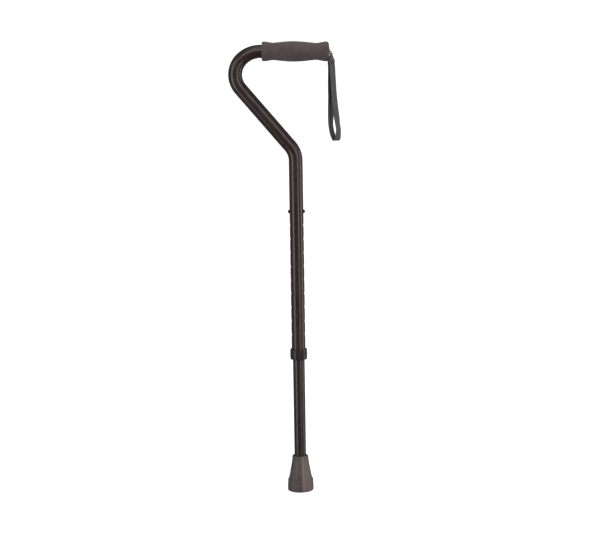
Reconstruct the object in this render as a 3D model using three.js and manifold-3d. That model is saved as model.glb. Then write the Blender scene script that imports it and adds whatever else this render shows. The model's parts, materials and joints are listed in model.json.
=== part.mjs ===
// Single point walking cane: offset bent handle with a foam grip, telescoping push-button shaft,
// lock ring, rubber tip and wrist strap. Millimetres, +Z up, +X along the grip away from the bend.
import * as THREE from 'three';
import { mergeVertices } from 'three/addons/utils/BufferGeometryUtils.js';
import Module from 'manifold-3d';

const wasm = await Module();
wasm.setup();

// Driving dimensions. Heights are above the floor and the shaft's axis is X = Y = 0.
const GAP = 0.3;                     // air between separate pieces
const GRIP_HEIGHT = 707.5;           // grip's axis where it crosses the shaft's axis
const GRIP_TILT = THREE.MathUtils.degToRad(0.87);
const UPPER_RADIUS = 11.1;           // 7/8 inch tube
const LOWER_RADIUS = 9.525;          // 3/4 inch tube
const WALL = 1.2;
const HANDLE_RUN_END = 48.6;         // tube's end inside the grip
const DIAGONAL_LEAN = THREE.MathUtils.degToRad(40.24);
const DIAGONAL_MEETS_SHAFT = 549.4;
const HANDLE_BEND = [                // two arcs in turn, each with its share of the whole turn
  { radius: 42, share: 0.343, steps: 5 },
  { radius: 34, share: 0.657, steps: 9 },
];
const LOWER_BEND = [{ radius: 35, share: 1, steps: 4 }];
const BEND_FLATTENING = 0.06;        // the bend is this much thinner in its own plane at the grip
const FLATTENING_ENDS = 0.5;         // share of the bend over which that fades
const UPPER_TUBE_END = 221.0;
const HOLE_RADIUS = 3.45;
const HOLE_SIDES = 16;
const HOLE_COUNT = 10;
const HOLE_PITCH = 22.0;
const TOP_HOLE = 455.5;
const LOWER_TUBE_TOP = 476.5;
const TIP_FLOOR = 9.5;               // inside of the rubber tip, where the washer lies
const WASHER_THICKNESS = 1.5;
const BUTTON_RADIUS = 3.1;
const BUTTON_FLANGE_RADIUS = 4.2;
const BUTTON_REACH = 13.9;           // crown of a button from the shaft's axis
const RING_RADIUS = 13.5;
const RING_BOTTOM = 216.5;
const RING_TOP = 233.8;
const RIB_COUNT = 16;
const GRIP_LEFT = -50.8;
const GRIP_RIGHT = 55.9;
const KNOT_RADIUS = 1.0;
const KNOT_X = 56.9;
const CORD_RADIUS = 0.75;
const STRAP_WIDTH = 12.7;
const STRAP_THICKNESS = 1.4;
const TUBE_SIDES = 24;
const LATHE_SIDES = 24;

const FOAM = new THREE.MeshStandardMaterial({ color: 0x524a47, roughness: 0.95, metalness: 0.0 });
const BLACK_TUBE = new THREE.MeshStandardMaterial({ color: 0x282220, roughness: 0.32, metalness: 0.6 });
const BLACK_PLASTIC = new THREE.MeshStandardMaterial({ color: 0x1d1b1a, roughness: 0.4, metalness: 0.0 });
const BUTTON_BLACK = new THREE.MeshStandardMaterial({ color: 0x262120, roughness: 0.35, metalness: 0.7 });
const STEEL = new THREE.MeshStandardMaterial({ color: 0x8c8b88, roughness: 0.3, metalness: 1.0 });
const RUBBER = new THREE.MeshStandardMaterial({ color: 0x504644, roughness: 0.8, metalness: 0.0 });
const WEBBING = new THREE.MeshStandardMaterial({ color: 0x3a3c3b, roughness: 0.9, metalness: 0.0 });

const cane = new THREE.Group();
const standing = new THREE.Group();
standing.position.z = -GRIP_HEIGHT;
cane.add(standing);
const handle = new THREE.Group();
handle.position.z = GRIP_HEIGHT;
handle.rotation.y = GRIP_TILT;
standing.add(handle);

// Shared helpers

function addPiece(parent, name, geometry, material) {
  const mesh = new THREE.Mesh(geometry, material);
  mesh.name = name;
  parent.add(mesh);
  return mesh;
}

function toSolid(geometry) {
  const bare = geometry.clone();
  bare.deleteAttribute('normal');
  bare.deleteAttribute('uv');
  const merged = mergeVertices(bare, 1e-4);
  const vertProperties = new Float32Array(merged.attributes.position.array);
  const triVerts = new Uint32Array(merged.index.array);
  return new wasm.Manifold(new wasm.Mesh({ numProp: 3, vertProperties, triVerts }));
}

function toGeometry(solid) {
  const mesh = solid.getMesh();
  const geometry = new THREE.BufferGeometry();
  geometry.setAttribute('position', new THREE.BufferAttribute(mesh.vertProperties, 3));
  geometry.setIndex(new THREE.BufferAttribute(mesh.triVerts, 1));
  geometry.computeVertexNormals();
  return geometry;
}

// A profile of [radius, height] pairs turned about the vertical.
function turned(profile, sides = LATHE_SIDES) {
  const points = profile.map(([radius, height]) => new THREE.Vector2(radius, height));
  return new THREE.LatheGeometry(points, sides).rotateX(Math.PI / 2);
}

// The same about the X axis, with heights running along +X.
function turnedAlongX(profile, sides = LATHE_SIDES) {
  return turned(profile, sides).rotateY(Math.PI / 2);
}

function arc(centreRadius, centreHeight, radius, fromDegrees, toDegrees, steps) {
  const points = [];
  for (let i = 0; i <= steps; i += 1) {
    const angle = THREE.MathUtils.degToRad(fromDegrees + (toDegrees - fromDegrees) * i / steps);
    points.push([centreRadius + radius * Math.cos(angle), centreHeight + radius * Math.sin(angle)]);
  }
  return points;
}

// The skin over rings of points, each ring anticlockwise about the way ahead. The last ring joins
// the first, or else both ends are capped.
function skin(rings, joined) {
  const sides = rings[0].length;
  const spans = joined ? rings.length : rings.length - 1;
  const index = [];
  for (let i = 0; i < spans; i += 1) {
    const here = i * sides;
    const next = (i + 1) % rings.length * sides;
    for (let j = 0; j < sides; j += 1) {
      const beside = (j + 1) % sides;
      index.push(here + j, here + beside, next + beside, here + j, next + beside, next + j);
    }
  }
  const last = (rings.length - 1) * sides;
  for (let j = 1; !joined && j < sides - 1; j += 1) {
    index.push(0, j + 1, j, last, last + j, last + j + 1);
  }
  const geometry = new THREE.BufferGeometry();
  const positions = rings.flat().flatMap((point) => point.toArray());
  geometry.setAttribute('position', new THREE.Float32BufferAttribute(positions, 3));
  geometry.setIndex(index);
  geometry.computeVertexNormals();
  return geometry;
}

// Upper tube: handle run, handle bend, diagonal, lower bend and straight shaft in one piece.

// Rounds the corner between two straight runs with one arc after another, and gives a station at
// every step: a place, the way ahead and the share of the turn already made.
function roundedCorner(before, corner, after, arcs) {
  const into = corner.clone().sub(before).normalize();
  const out = after.clone().sub(corner).normalize();
  const inward = out.clone().addScaledVector(into, -into.dot(out)).normalize();
  const turn = into.angleTo(out);
  const flat = [{ x: 0, y: 0, heading: 0 }];
  for (const { radius, share, steps } of arcs) {
    const { x, y, heading } = flat[flat.length - 1];
    for (let i = 1; i <= steps; i += 1) {
      const angle = heading + turn * share * i / steps;
      flat.push({
        x: x + radius * (Math.sin(angle) - Math.sin(heading)),
        y: y + radius * (Math.cos(heading) - Math.cos(angle)),
        heading: angle,
      });
    }
  }
  const end = flat[flat.length - 1];
  const start = corner.clone().addScaledVector(into, end.y / Math.tan(turn) - end.x);
  return flat.map(({ x, y, heading }) => ({
    place: start.clone().addScaledVector(into, x).addScaledVector(inward, y),
    ahead: into.clone().multiplyScalar(Math.cos(heading)).addScaledVector(inward, Math.sin(heading)),
    share: heading / turn,
  }));
}

function upperTubeStations() {
  const along = new THREE.Vector3(Math.cos(GRIP_TILT), 0, -Math.sin(GRIP_TILT));
  const back = along.clone().negate();
  const inGrip = (x) => new THREE.Vector3(0, 0, GRIP_HEIGHT).addScaledVector(along, x);
  const down = new THREE.Vector3(Math.sin(DIAGONAL_LEAN), 0, -Math.cos(DIAGONAL_LEAN));
  const lowerCorner = new THREE.Vector3(0, 0, DIAGONAL_MEETS_SHAFT);
  // The diagonal carried up until it meets the grip's axis.
  const rise = GRIP_HEIGHT - DIAGONAL_MEETS_SHAFT;
  const reach = rise / (-down.z - down.x * Math.tan(GRIP_TILT));
  const upperCorner = lowerCorner.clone().addScaledVector(down, -reach);
  const bottom = new THREE.Vector3(0, 0, UPPER_TUBE_END);
  const handleBend = roundedCorner(inGrip(0), upperCorner, lowerCorner, HANDLE_BEND);
  for (const station of handleBend) {
    const fade = THREE.MathUtils.smoothstep(station.share, 0, FLATTENING_ENDS);
    station.flatness = BEND_FLATTENING * (1 - fade);
  }
  return [
    { place: inGrip(HANDLE_RUN_END), ahead: back },
    { place: inGrip(GRIP_LEFT + 10), ahead: back },
    { place: inGrip(GRIP_LEFT), ahead: back, flatness: BEND_FLATTENING },
    ...handleBend,
    ...roundedCorner(upperCorner, lowerCorner, bottom, LOWER_BEND),
    { place: bottom, ahead: new THREE.Vector3(0, 0, -1) },
  ];
}

function tubeRing({ place, ahead, flatness = 0 }, radius) {
  const inPlane = new THREE.Vector3(-ahead.z, 0, ahead.x).multiplyScalar(radius * (1 - flatness));
  const ring = [];
  for (let j = 0; j < TUBE_SIDES; j += 1) {
    const angle = 2 * Math.PI * j / TUBE_SIDES;
    const point = place.clone().addScaledVector(inPlane, Math.sin(angle));
    point.y += radius * Math.cos(angle);
    ring.push(point);
  }
  return ring;
}

function crossHole(height) {
  const length = 4 * UPPER_RADIUS;
  const drill = new THREE.CylinderGeometry(HOLE_RADIUS, HOLE_RADIUS, length, HOLE_SIDES);
  return toSolid(drill.rotateZ(Math.PI / 2).translate(0, 0, height));
}

function upperTube() {
  const stations = upperTubeStations();
  const outer = stations.map((station) => tubeRing(station, UPPER_RADIUS));
  const inner = stations.map((station) => tubeRing(station, UPPER_RADIUS - WALL));
  let tube = toSolid(skin([...outer, ...inner.reverse()], true));
  for (let i = 0; i < HOLE_COUNT; i += 1) {
    tube = tube.subtract(crossHole(TOP_HOLE - i * HOLE_PITCH));
  }
  return toGeometry(tube);
}

addPiece(standing, 'upper_tube', upperTube(), BLACK_TUBE);

// Foam grip: two waists and a belly, open at the bend and closed round the end plug.
const GRIP_WAIST = [
  [-46.5, 15.55], [-39.2, 14.5], [-32.9, 13.75], [-26.6, 14.2], [-20.3, 14.9], [-11, 15.65],
  [-1.5, 15.95], [8, 15.7], [17.4, 15.05], [23.7, 14.4], [29.9, 13.7], [36.2, 13.35],
  [42.5, 14.4], [48, 15.45],
];
const PLUG_FLANGE_RADIUS = 11.1;
const PLUG_FLANGE_THICKNESS = 2.0;
const PLUG_NOSE_RADIUS = 4.0;
const PLUG_NOSE_END = 56.6;
const PLUG_FLANGE_START = HANDLE_RUN_END + GAP;

function foamGrip() {
  const waist = new THREE.SplineCurve(GRIP_WAIST.map(([x, radius]) => new THREE.Vector2(radius, x)));
  const outer = waist.getPoints(21).map((point) => [point.x, point.y]);
  const boreRadius = UPPER_RADIUS + GAP;
  const boreEnd = PLUG_FLANGE_START + PLUG_FLANGE_THICKNESS + GAP;
  const noseHole = PLUG_NOSE_RADIUS + GAP;
  return turnedAlongX([
    [boreRadius, GRIP_LEFT],
    ...arc(12.4, GRIP_LEFT + 3.2, 3.2, -90, -20, 4),
    ...outer,
    ...arc(12.0, GRIP_RIGHT - 4.7, 3.5, 5, 70, 4),
    [11, GRIP_RIGHT - 0.7],
    [8, GRIP_RIGHT - 0.3],
    [noseHole, GRIP_RIGHT],
    [noseHole, boreEnd],
    [boreRadius, boreEnd],
    [boreRadius, GRIP_LEFT],
  ]);
}

addPiece(handle, 'foam_grip', foamGrip(), FOAM);

// End plug: barrel in the tube's mouth, flange against the tube's end, nose with a countersunk eye.
function gripPlug() {
  const barrelRadius = UPPER_RADIUS - WALL - GAP;
  const barrelStart = HANDLE_RUN_END - 12;
  const flangeEnd = PLUG_FLANGE_START + PLUG_FLANGE_THICKNESS;
  const eyeRadius = 2.7;
  const eyeDepth = 1.5;
  return turnedAlongX([
    [0, barrelStart],
    [barrelRadius - 1, barrelStart],
    [barrelRadius, barrelStart + 1],
    [barrelRadius, PLUG_FLANGE_START],
    [PLUG_FLANGE_RADIUS, PLUG_FLANGE_START],
    [PLUG_FLANGE_RADIUS, flangeEnd],
    [PLUG_NOSE_RADIUS, flangeEnd],
    [PLUG_NOSE_RADIUS, PLUG_NOSE_END - 0.6],
    [PLUG_NOSE_RADIUS - 0.6, PLUG_NOSE_END],
    [eyeRadius, PLUG_NOSE_END],
    [eyeRadius - eyeDepth, PLUG_NOSE_END - eyeDepth],
    [0, PLUG_NOSE_END - eyeDepth],
  ], 20);
}

addPiece(handle, 'grip_plug', gripPlug(), BLACK_PLASTIC);

// Wrist strap: a knot in the plug's eye, a thin cord, and one length of webbing folded into a loop.
// The route runs from the front end's cut edge, round the fold, to the back end's, and gives with
// each place the angle in degrees between the webbing's width and the cane's side direction.
const STRAP_ROUTE = [
  [60.1, -2, 701.8, 6], [60.3, -3.8, 698.8, 16], [60.3, -5.75, 695.6, 29], [60.05, -6.3, 692.5, 37],
  [59.6, -6, 689.5, 41], [59.95, -5.5, 683.2, 42], [60.45, -5.1, 673.8, 42], [61.35, -4.8, 654.9, 42],
  [62.5, -4.5, 636, 42], [64.45, -4.6, 617.1, 42], [65.7, -4.6, 604.5, 44], [66.6, -4.1, 598.3, 40],
  [67.35, -3.7, 592, 37], [68.3, -3.6, 585.7, 37], [68.25, -3.2, 579.4, 39], [67.8, -2.5, 573.5, 43],
  [66.6, -1.3, 569, 46], [64.9, 0, 567.4, 47], [63.2, 1.1, 568, 46], [61.6, 2.2, 571.1, 45],
  [59.35, 3, 576.5, 41], [57.9, 3.4, 582, 38], [57.1, 3.5, 587, 37], [56.5, 3.5, 592.5, 37],
  [56.45, 3.5, 598.3, 40], [56.65, 3.4, 604.5, 44], [56.6, 2.2, 617.1, 42], [57, 0.4, 636, 42],
  [56.9, -0.9, 654.9, 42], [57.3, -2.2, 673.8, 42], [57.3, -3, 683.2, 42], [56.8, -3.6, 689.5, 41],
  [57.75, -4.6, 692.5, 37], [58.35, -4.65, 695.6, 29], [58.5, -3.3, 698.8, 16], [58.25, -1.8, 701.8, 6],
];
const CORD_ROUTE = [
  [58.25, 0, 706.6], [59.1, -0.4, 706], [59.5, -1, 704.6], [59.2, -1.65, 702.7],
];

function routeCurve(places) {
  return new THREE.CatmullRomCurve3(places.map(([x, y, z]) => new THREE.Vector3(x, y, z)));
}

// A closed flat band with bevelled edges that follows the curve.
function webbing() {
  const curve = routeCurve(STRAP_ROUTE);
  const spans = STRAP_ROUTE.length - 1;
  const steps = 2 * spans;
  const half = STRAP_WIDTH / 2;
  const thin = STRAP_THICKNESS / 2;
  const bevel = thin / 2;
  const section = [
    [bevel - half, -thin], [half - bevel, -thin], [half, bevel - thin], [half, thin - bevel],
    [half - bevel, thin], [bevel - half, thin], [-half, thin - bevel], [-half, bevel - thin],
  ];
  const rings = [];
  for (let i = 0; i <= steps; i += 1) {
    const centre = curve.getPoint(i / steps);
    const tangent = curve.getTangent(i / steps);
    const here = STRAP_ROUTE[Math.floor(i / 2)][3];
    const next = STRAP_ROUTE[Math.ceil(i / 2)][3];
    const yaw = THREE.MathUtils.degToRad((here + next) / 2);
    const across = new THREE.Vector3(Math.sin(yaw), Math.cos(yaw), 0);
    across.addScaledVector(tangent, -across.dot(tangent)).normalize();
    const outward = new THREE.Vector3().crossVectors(tangent, across);
    const place = ([a, b]) => centre.clone().addScaledVector(across, a).addScaledVector(outward, b);
    rings.push(section.map(place));
  }
  return skin(rings, false);
}

function thinCord() {
  const outline = new THREE.Shape();
  outline.absarc(0, 0, CORD_RADIUS, 0, 2 * Math.PI);
  const extrudePath = routeCurve(CORD_ROUTE);
  return new THREE.ExtrudeGeometry(outline, { steps: 8, curveSegments: 4, bevelEnabled: false, extrudePath });
}

const knot = addPiece(handle, 'strap_knot', new THREE.SphereGeometry(KNOT_RADIUS, 12, 8), WEBBING);
knot.position.x = KNOT_X;
addPiece(standing, 'strap_cord', thinCord(), WEBBING);
addPiece(standing, 'wrist_strap', webbing(), WEBBING);

// Lock ring and the slotted sleeve that it turns on, at the lower end of the upper tube.
const SLEEVE_TOP = 230.5;
const SLEEVE_BOTTOM = 217.7;
const SLEEVE_RADIUS = 12.15;
const SLOT_WIDTH = 1.4;

function colletSleeve() {
  const cupRadius = UPPER_RADIUS + GAP;
  const flangeTop = UPPER_TUBE_END - GAP;
  const neckRadius = LOWER_RADIUS + 0.25;
  const body = toSolid(turned([
    [neckRadius, SLEEVE_BOTTOM],
    [SLEEVE_RADIUS, SLEEVE_BOTTOM],
    [SLEEVE_RADIUS, SLEEVE_TOP],
    [cupRadius, SLEEVE_TOP],
    [cupRadius, flangeTop],
    [neckRadius, flangeTop],
    [neckRadius, SLEEVE_BOTTOM],
  ]));
  const slotHeight = SLEEVE_TOP - flangeTop;
  const slot = new THREE.BoxGeometry(4 * RING_RADIUS, SLOT_WIDTH, slotHeight);
  const raised = toSolid(slot.translate(0, 0, flangeTop + slotHeight / 2 + 1));
  return toGeometry(body.subtract(raised).subtract(raised.rotate([0, 0, 90])));
}

function lockRing() {
  const lip = 0.9;
  const rounding = 1.4;
  const throat = LOWER_RADIUS + 0.4;
  const topBore = UPPER_RADIUS + GAP;
  const chamber = SLEEVE_RADIUS + GAP;
  let ring = toSolid(turned([
    [throat, RING_BOTTOM],
    ...arc(RING_RADIUS - rounding, RING_BOTTOM + rounding, rounding, -90, 0, 3),
    ...arc(RING_RADIUS - rounding, RING_TOP - rounding, rounding, 0, 90, 3),
    [topBore, RING_TOP],
    [topBore, SLEEVE_TOP + GAP],
    [chamber, SLEEVE_TOP + GAP],
    [chamber, RING_BOTTOM + lip],
    [throat, RING_BOTTOM + lip],
    [throat, RING_BOTTOM],
  ]));
  const ribLength = RING_TOP - RING_BOTTOM - 2 * rounding - 2;
  const rib = toSolid(new THREE.CylinderGeometry(0.7, 0.7, ribLength, 6).rotateX(Math.PI / 2));
  for (let i = 0; i < RIB_COUNT; i += 1) {
    const middle = (RING_TOP + RING_BOTTOM) / 2;
    const placed = rib.translate([RING_RADIUS - 0.25, 0, middle]).rotate([0, 0, 360 * i / RIB_COUNT]);
    ring = ring.add(placed);
  }
  return toGeometry(ring);
}

addPiece(standing, 'collet_sleeve', colletSleeve(), BLACK_PLASTIC);
addPiece(standing, 'lock_ring', lockRing(), BLACK_PLASTIC);

// Lower tube with the two holes its buttons stand in.
function lowerTube() {
  const bottom = TIP_FLOOR + GAP + WASHER_THICKNESS + GAP;
  const tube = turned([
    [LOWER_RADIUS - WALL, bottom],
    [LOWER_RADIUS, bottom],
    [LOWER_RADIUS, LOWER_TUBE_TOP],
    [LOWER_RADIUS - WALL, LOWER_TUBE_TOP],
    [LOWER_RADIUS - WALL, bottom],
  ], TUBE_SIDES);
  return toGeometry(toSolid(tube).subtract(crossHole(TOP_HOLE)));
}

addPiece(standing, 'lower_tube', lowerTube(), BLACK_TUBE);

// Push buttons, each a round-ended pin with a flange inside the lower tube.
function pushButton() {
  const flangeStart = 5.0;
  const flangeEnd = 6.0;
  return turnedAlongX([
    [0, flangeStart],
    [BUTTON_FLANGE_RADIUS, flangeStart],
    [BUTTON_FLANGE_RADIUS, flangeEnd],
    [BUTTON_RADIUS, flangeEnd],
    ...arc(0, BUTTON_REACH - BUTTON_RADIUS, BUTTON_RADIUS, 0, 75, 5),
    [0, BUTTON_REACH],
  ], 16);
}

for (const [name, turn] of [['button_right', 0], ['button_left', Math.PI]]) {
  const button = addPiece(standing, name, pushButton(), BUTTON_BLACK);
  button.position.z = TOP_HOLE;
  button.rotation.z = turn;
}

// V-shaped leaf spring that holds both buttons out.
function snapSpring() {
  const leaf = 0.8;
  const topHalf = 4.7;
  const bendRadius = 3.7;
  const top = TOP_HOLE + 6;
  const bendHeight = TOP_HOLE - 36;
  const width = 6;
  const outline = new THREE.Shape();
  outline.moveTo(-topHalf, top);
  outline.lineTo(-bendRadius, bendHeight);
  outline.absarc(0, bendHeight, bendRadius, Math.PI, 2 * Math.PI, false);
  outline.lineTo(topHalf, top);
  outline.lineTo(topHalf - leaf, top);
  outline.lineTo(bendRadius - leaf, bendHeight);
  outline.absarc(0, bendHeight, bendRadius - leaf, 2 * Math.PI, Math.PI, true);
  outline.lineTo(leaf - topHalf, top);
  outline.closePath();
  const strip = new THREE.ExtrudeGeometry(outline, { depth: width, bevelEnabled: false, curveSegments: 8 });
  return strip.rotateX(Math.PI / 2).translate(0, width / 2, 0);
}

addPiece(standing, 'snap_spring', snapSpring(), STEEL);

// Rubber tip: ringed tread, stepped base, flared body and a round bead at the mouth.
function treadLands() {
  const points = [];
  for (const [landEnd, nextLand] of [[5.5, 7], [9.5, 11], [13.5, 15]]) {
    points.push([landEnd, 0], [landEnd, 1.5], [nextLand, 1.5], [nextLand, 0]);
  }
  return points;
}

function rubberTip() {
  const socket = LOWER_RADIUS + GAP;
  const mouthBead = 1.75;
  return turned([
    [0, 0],
    ...treadLands(),
    ...arc(19.3, 1.7, 1.7, -90, 0, 4),
    [21.0, 9.5],
    [20.6, 15.5],
    ...arc(19.1, 17.5, 1.4, 0, 90, 3),
    [18.9, 19.1],
    [18.65, 22.5],
    [17.75, 25.8],
    [16.6, 32.5],
    [15.3, 39.2],
    [14.25, 45.5],
    [13.4, 51],
    [13.0, 53.8],
    ...arc(socket + mouthBead, 55.8, mouthBead, -35, 150, 6),
    [socket, 55.5],
    [socket, TIP_FLOOR],
    [0, TIP_FLOOR],
  ]);
}

function tipWasher() {
  const bottom = TIP_FLOOR + GAP;
  const disc = new THREE.CylinderGeometry(LOWER_RADIUS - 0.2, LOWER_RADIUS - 0.2, WASHER_THICKNESS, 20);
  return disc.rotateX(Math.PI / 2).translate(0, 0, bottom + WASHER_THICKNESS / 2);
}

addPiece(standing, 'rubber_tip', rubberTip(), RUBBER);
addPiece(standing, 'tip_washer', tipWasher(), STEEL);

export default cane;
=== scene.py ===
"""Single point cane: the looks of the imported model, in metres, in the model's own frame.

The origin is the middle of the grip on the shaft's axis, +Z is up and +X runs along the grip.
"""

import json
import math

import bmesh
import bpy
from mathutils import Matrix, Vector, noise

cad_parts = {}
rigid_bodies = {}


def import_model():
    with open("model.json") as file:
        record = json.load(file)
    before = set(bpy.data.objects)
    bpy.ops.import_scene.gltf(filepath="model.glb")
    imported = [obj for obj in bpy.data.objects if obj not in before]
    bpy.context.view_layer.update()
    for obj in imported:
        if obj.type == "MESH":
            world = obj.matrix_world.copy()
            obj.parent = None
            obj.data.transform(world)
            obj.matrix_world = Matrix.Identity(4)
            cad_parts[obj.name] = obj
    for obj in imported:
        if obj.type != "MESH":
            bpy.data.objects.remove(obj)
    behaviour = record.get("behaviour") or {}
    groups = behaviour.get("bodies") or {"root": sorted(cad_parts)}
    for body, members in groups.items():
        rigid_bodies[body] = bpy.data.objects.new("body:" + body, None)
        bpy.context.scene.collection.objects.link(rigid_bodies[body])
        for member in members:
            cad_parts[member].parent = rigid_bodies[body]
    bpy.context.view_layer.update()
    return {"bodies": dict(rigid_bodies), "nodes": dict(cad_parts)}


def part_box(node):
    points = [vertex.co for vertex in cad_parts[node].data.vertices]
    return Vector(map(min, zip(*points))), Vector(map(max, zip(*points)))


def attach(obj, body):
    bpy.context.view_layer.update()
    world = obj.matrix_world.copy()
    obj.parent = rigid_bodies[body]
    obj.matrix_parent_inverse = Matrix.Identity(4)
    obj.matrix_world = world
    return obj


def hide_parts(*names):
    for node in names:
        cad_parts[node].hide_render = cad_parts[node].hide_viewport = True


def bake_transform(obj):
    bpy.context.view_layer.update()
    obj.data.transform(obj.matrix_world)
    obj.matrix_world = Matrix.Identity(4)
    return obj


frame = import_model()

MM = 0.001
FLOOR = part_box("rubber_tip")[0].z
GRIP_TILT = math.radians(0.87)


def at(x, y, height):
    """The point, in metres, at a place in millimetres whose height is measured from the floor."""
    return Vector((x * MM, y * MM, FLOOR + height * MM))


# ---------------------------------------------------------------- camera

CAMERA_PLACE = at(4.2, -2100, 612.5)
CAMERA_PITCH = math.radians(6.8)
CAMERA_ROLL = math.radians(0.89)
SENSOR_MM = 36.0
LENS_MM = 79.16
SIGHT_LIMIT = 50  # metres


def make_camera():
    data = bpy.data.cameras.new("camera")
    data.sensor_width = SENSOR_MM
    data.lens = LENS_MM
    data.clip_end = SIGHT_LIMIT
    camera = bpy.data.objects.new("camera", data)
    bpy.context.scene.collection.objects.link(camera)
    look = Matrix.Rotation(math.pi / 2 - CAMERA_PITCH, 4, "X")
    roll = Matrix.Rotation(-CAMERA_ROLL, 4, "Z")
    camera.matrix_world = Matrix.Translation(CAMERA_PLACE) @ look @ roll
    bpy.context.scene.camera = camera


make_camera()


# ---------------------------------------------------------------- mesh helpers

def shade_smooth(mesh, sharp_degrees):
    """Smooth shading, with a hard edge wherever two faces meet at more than the angle."""
    mesh.polygons.foreach_set("use_smooth", [True] * len(mesh.polygons))
    mesh.set_sharp_from_angle(angle=math.radians(sharp_degrees))


def add_mesh(name, points, faces, material, sharp_degrees=40, uvs=None):
    """A smooth-shaded mesh object whose faces point outwards; uvs holds one pair per point."""
    mesh = bpy.data.meshes.new(name)
    mesh.from_pydata([tuple(p) for p in points], [], faces)
    if uvs is not None:
        layer = mesh.uv_layers.new(name="UVMap")
        for loop in mesh.loops:
            layer.data[loop.index].uv = uvs[loop.vertex_index]
    work = bmesh.new()
    work.from_mesh(mesh)
    bmesh.ops.recalc_face_normals(work, faces=work.faces)
    work.to_mesh(mesh)
    work.free()
    shade_smooth(mesh, sharp_degrees)
    mesh.materials.append(material)
    piece = bpy.data.objects.new(name, mesh)
    bpy.context.scene.collection.objects.link(piece)
    return piece


def loft(rings, closed=False):
    """Points and faces of the skin over rings of equal size, with an end cap on each open end."""
    points = [p for ring in rings for p in ring]
    size = len(rings[0])
    count = len(rings)
    faces = []
    for i in range(count if closed else count - 1):
        a = i * size
        b = (i + 1) % count * size
        for j in range(size):
            k = (j + 1) % size
            faces.append((a + j, a + k, b + k, b + j))
    if not closed:
        faces.append(tuple(range(size)))
        faces.append(tuple((count - 1) * size + j for j in range(size)))
    return points, faces


def arc(radius, height, bend, start, stop, steps):
    """Points on an arc round (radius, height), its angles in degrees from straight outwards."""
    turns = [math.radians(start + (stop - start) * i / steps) for i in range(steps + 1)]
    return [(radius + bend * math.cos(a), height + bend * math.sin(a)) for a in turns]


FILLET_SHARE = 0.49  # the most of a side that a fillet may take


def rounded(corners, steps=5):
    """A profile of (radius, height, fillet) corners with each fillet as a short curve."""
    profile = []
    last = len(corners) - 1
    for i, (radius, height, fillet) in enumerate(corners):
        here = Vector((radius, height))
        if fillet == 0 or i in (0, last):
            profile.append((radius, height))
            continue
        before = Vector(corners[i - 1][:2]) - here
        after = Vector(corners[i + 1][:2]) - here
        corner = before.angle(after)
        room = FILLET_SHARE * min(before.length, after.length)
        back = min(fillet / math.tan(corner / 2), room)
        start = here + before.normalized() * back
        end = here + after.normalized() * back
        for step in range(steps + 1):
            t = step / steps
            point = start * (1 - t) ** 2 + here * 2 * t * (1 - t) + end * t ** 2
            profile.append((point.x, point.y))
    return profile


def circle(segments):
    """Angles in radians, evenly spaced round a whole turn."""
    return [2 * math.pi * j / segments for j in range(segments)]


def turned(profile, place, segments, shape=None):
    """Points and faces of a profile of (radius, height) in millimetres, turned about an axis.

    place turns (across, side, along) in millimetres into a point. A profile that starts and ends
    on the axis closes there, and any other profile closes on itself. shape may change a radius.
    """
    on_axis = profile[0][0] == 0 and profile[-1][0] == 0
    body = profile[1:-1] if on_axis else profile
    rings = []
    for radius, height in body:
        ring = []
        for angle in circle(segments):
            reach = shape(radius, height, angle) if shape else radius
            ring.append(place(reach * math.cos(angle), reach * math.sin(angle), height))
        rings.append(ring)
    if not on_axis:
        return loft(rings, closed=True)
    points, faces = loft(rings)
    faces = faces[:-2]
    for height, first in ((profile[0][1], 0), (profile[-1][1], (len(rings) - 1) * segments)):
        pole = len(points)
        points.append(place(0, 0, height))
        faces += [(pole, first + j, first + (j + 1) % segments) for j in range(segments)]
    return points, faces


GRIP_ALONG = Vector((math.cos(GRIP_TILT), 0, -math.sin(GRIP_TILT)))
GRIP_UP = Vector((math.sin(GRIP_TILT), 0, math.cos(GRIP_TILT)))


def along_grip(up, side, along):
    """A point given in millimetres from the grip's middle, along its tilted axis."""
    return (GRIP_ALONG * along + GRIP_UP * up + Vector((0, 1, 0)) * side) * MM


def smoothstep(value, low, high):
    """0 up to low, 1 from high on, and a smooth rise between them."""
    share = min(1.0, max(0.0, (value - low) / (high - low)))
    return share * share * (3 - 2 * share)


def smooth_line(points, steps):
    """Points on a Catmull-Rom curve through the given points, steps to a span."""
    line = []
    ends = [points[0] * 2 - points[1], *points, points[-1] * 2 - points[-2]]
    for i in range(1, len(ends) - 2):
        a, b, c, d = ends[i - 1:i + 3]
        for step in range(steps):
            t = step / steps
            bend = (a * 2 - b * 5 + c * 4 - d) * t ** 2 + (b * 3 - a - c * 3 + d) * t ** 3
            line.append((b * 2 + (c - a) * t + bend) / 2)
    line.append(points[-1].copy())
    return line


def line_length(line):
    return sum((b - a).length for a, b in zip(line, line[1:]))


# ---------------------------------------------------------------- material helpers

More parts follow.
